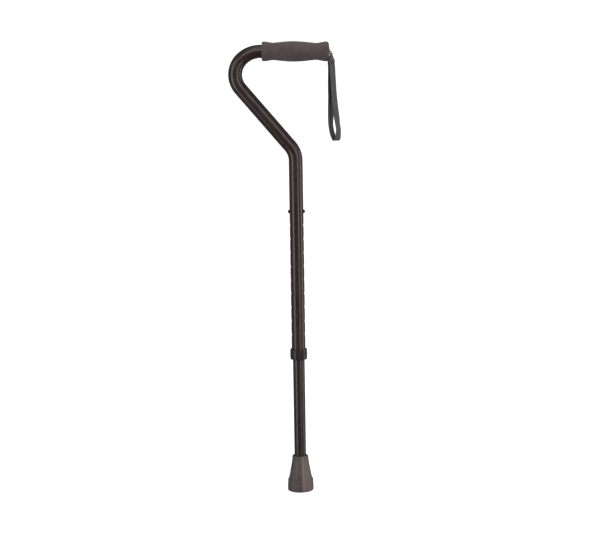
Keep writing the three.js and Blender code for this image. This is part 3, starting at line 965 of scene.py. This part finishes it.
def make_button(name, node, side):
    """A flanged pin with a round head, lying along X."""
    def along_x(up, across, along):
        return at(side * along, across, TOP_HOLE + up)

    profile = rounded([
        (0, 5, 0), (4.2, 5, 0.2), (4.2, 6, 0.2), (BUTTON_RADIUS, 6, 0.1), (BUTTON_RADIUS, 10.7, 0),
    ])
    profile += arc(0, DOME_START, BUTTON_RADIUS, 0, 90, 16)[:-1]
    profile.append((0, DOME_START + BUTTON_RADIUS))
    points, faces = turned(profile, along_x, 64)
    button = add_mesh(name, points, faces, BUTTON, 35)
    mark(button, "wear", [smoothstep(abs(p.x) / MM, 11.6, 13.8) for p in points])
    install(button, node, "button_black", node)


def make_spring_leg(name, side):
    """Half of the V-shaped leaf spring, with the leg that carries the button."""
    leaf, half_width, bevel = 0.5, 3.0, 0.12
    bend_height = TOP_HOLE - 36
    outer = [Vector(spot) for spot in arc(0, bend_height, 3.7, -89.6, 0, 12)]
    leg_foot, leg_top = outer[-1], Vector((4.75, TOP_HOLE + 6))
    outer += [leg_foot.lerp(leg_top, i / 28) for i in range(1, 29)]
    rings = []
    for i, spot in enumerate(outer):
        ahead = (outer[min(i + 1, len(outer) - 1)] - outer[max(i - 1, 0)]).normalized()
        inward = Vector((-ahead.y, ahead.x))
        ring = []
        for depth, across in (
            (0, bevel - half_width), (0, half_width - bevel), (bevel, half_width),
            (leaf - bevel, half_width), (leaf, half_width - bevel), (leaf, bevel - half_width),
            (leaf - bevel, -half_width), (bevel, -half_width),
        ):
            point = spot + inward * depth
            ring.append(at(side * point.x, across, point.y))
        rings.append(ring)
    points, faces = loft(rings)
    leg = add_mesh(name, points, faces, STEEL, 35)
    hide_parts("snap_spring")
    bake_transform(leg)


for side_name, side in (("right", 1), ("left", -1)):
    make_button("push_button_" + side_name, "button_" + side_name, side)
    make_spring_leg("spring_leg_" + side_name, side)


# ---------------------------------------------------------------- rubber tip

# The mould line also sets where the painted highlight and the painted light fall.
MOULD_LINE = math.radians(-79)  # round the tip, from +X towards +Y
TREAD_DEPTH = 1.5


def painted_light_share(point):
    """Painted light from 0 to 1: the mould half towards the right-hand lamps is paler, with a painted
    highlight along its line.
    """
    past = math.degrees(math.atan2(point.y, point.x) - MOULD_LINE)
    crest = math.exp(-((past - 3) / 7) ** 2)
    half = smoothstep(past, -4, 2) * (1 - smoothstep(past, 150, 178))
    half *= 1 - 0.35 * smoothstep(past, 20, 60)
    return 0.45 * crest + 0.58 * half


def make_tip():
    """The tread's ringed lands and grooves, the foot, the tapering neck, its lip and the socket."""
    corners = [(0, 0, 0)]
    for land_end, next_land in ((5.5, 7), (9.5, 11), (13.5, 15)):
        corners += [(land_end, 0, 0.25), (land_end, TREAD_DEPTH, 0.3)]
        corners += [(next_land, TREAD_DEPTH, 0.3), (next_land, 0, 0.25)]
    corners += [(21.0, 0, 1.8), (21.0, 9.5, 0), (20.6, 15.5, 0), (20.5, 18.9, 1.3), (18.95, 19, 0.6)]
    profile = rounded(corners, 8)
    profile += [(18.8, 20.5), (18.65, 22.5), (17.75, 25.8), (16.6, 32.5), (15.3, 39.2), (14.25, 45.5)]
    profile += [(13.4, 51), (13.0, 53.8), (12.95, 54.5)]
    profile += arc(11.575, 55.8, 1.75, -35, 175, 16)
    profile += rounded([(9.83, 55.5, 0), (9.83, 9.5, 0.4), (0, 9.5, 0)])

    def moulded(radius, height, angle):
        """Two mould lines run up the wall, and the wall isn't quite true."""
        if radius < 10 or height < 2:
            return radius
        line = math.exp(-(math.sin(angle - MOULD_LINE) * radius / 0.28) ** 2)
        spot = Vector((math.cos(angle) * 2.4, math.sin(angle) * 2.4, height * 0.12))
        return radius + 0.14 * line + 0.1 * noise.noise(spot)

    points, faces = turned(profile, at, 192, moulded)
    tip = add_mesh("foot_tip", points, faces, RUBBER, 40)
    # The painted light and painted highlight are kept on the mesh for the rubber to read.
    mark(tip, "painted_light", [painted_light_share(point) for point in points])
    install(tip, "shaft", "tip_rubber", "rubber_tip")


make_tip()


# ---------------------------------------------------------------- floor and light

def make_floor():
    """A pale floor under the tip, at any height setting, that turns up softly behind the cane."""
    front, depth, bend, height, half_width = -6.0, 2.6, 1.2, 3.5, 7.0
    line = [(front, 0.0), *arc(depth, bend, bend, -90, 0, 24), (depth + bend, height)]
    points = [Vector((x, y, FLOOR + z)) for y, z in line for x in (-half_width, half_width)]
    faces = [(2 * i, 2 * i + 1, 2 * i + 3, 2 * i + 2) for i in range(len(line) - 1)]
    floor = add_mesh("floor", points, faces, floor_material())
    floor.parent = frame["bodies"]["shaft"]
    floor.visible_glossy = False
    floor.visible_diffuse = False


def make_softbox(name, azimuth, elevation, distance, size, watts):
    """A soft light aimed half way down the cane; azimuth 0 is the camera's side and 90 is +X."""
    data = bpy.data.lights.new(name, "AREA")
    data.shape = "RECTANGLE"
    data.size, data.size_y = size
    data.energy = watts
    lamp = bpy.data.objects.new(name, data)
    bpy.context.scene.collection.objects.link(lamp)
    turn, lift = math.radians(azimuth), math.radians(elevation)
    away = Vector((math.sin(turn) * math.cos(lift), -math.cos(turn) * math.cos(lift), math.sin(lift)))
    target = Vector((0, 0, FLOOR / 2))
    lamp.location = target + away * distance
    lamp.rotation_euler = away.to_track_quat("Z", "Y").to_euler()
    return lamp


ROOM_COLOUR = (0.9, 0.88, 0.87, 1)
ROOM_STRENGTH = 0.23


def make_world():
    """White to the camera, a dim room to everything else."""
    world = bpy.data.worlds.new("studio")
    bpy.context.scene.world = world
    world.use_nodes = True
    tree = world.node_tree
    tree.nodes.clear()
    out = tree.nodes.new("ShaderNodeOutputWorld")
    seen = tree.nodes.new("ShaderNodeBackground")
    room = tree.nodes.new("ShaderNodeBackground")
    choose = tree.nodes.new("ShaderNodeMixShader")
    path = tree.nodes.new("ShaderNodeLightPath")
    seen.inputs["Color"].default_value = WHITE
    room.inputs["Color"].default_value = ROOM_COLOUR
    room.inputs["Strength"].default_value = ROOM_STRENGTH
    tree.links.new(path.outputs["Is Camera Ray"], choose.inputs["Fac"])
    tree.links.new(room.outputs[0], choose.inputs[1])
    tree.links.new(seen.outputs[0], choose.inputs[2])
    tree.links.new(choose.outputs[0], out.inputs["Surface"])


make_floor()
make_softbox("left_strip", -56, 6, 1.9, (0.7, 2.2), 14)
make_softbox("right_strip", 34, 8, 2.0, (0.4, 2.2), 11)
make_softbox("side_strip", 88, 6, 1.9, (0.7, 2.2), 12)
make_softbox("top_light", 10, 72, 2.2, (1.6, 1.2), 8)
make_softbox("high_sheen", -4, 36, 2.2, (1.5, 0.7), 9).visible_diffuse = False
make_world()
bpy.context.scene.view_settings.view_transform = "Standard"
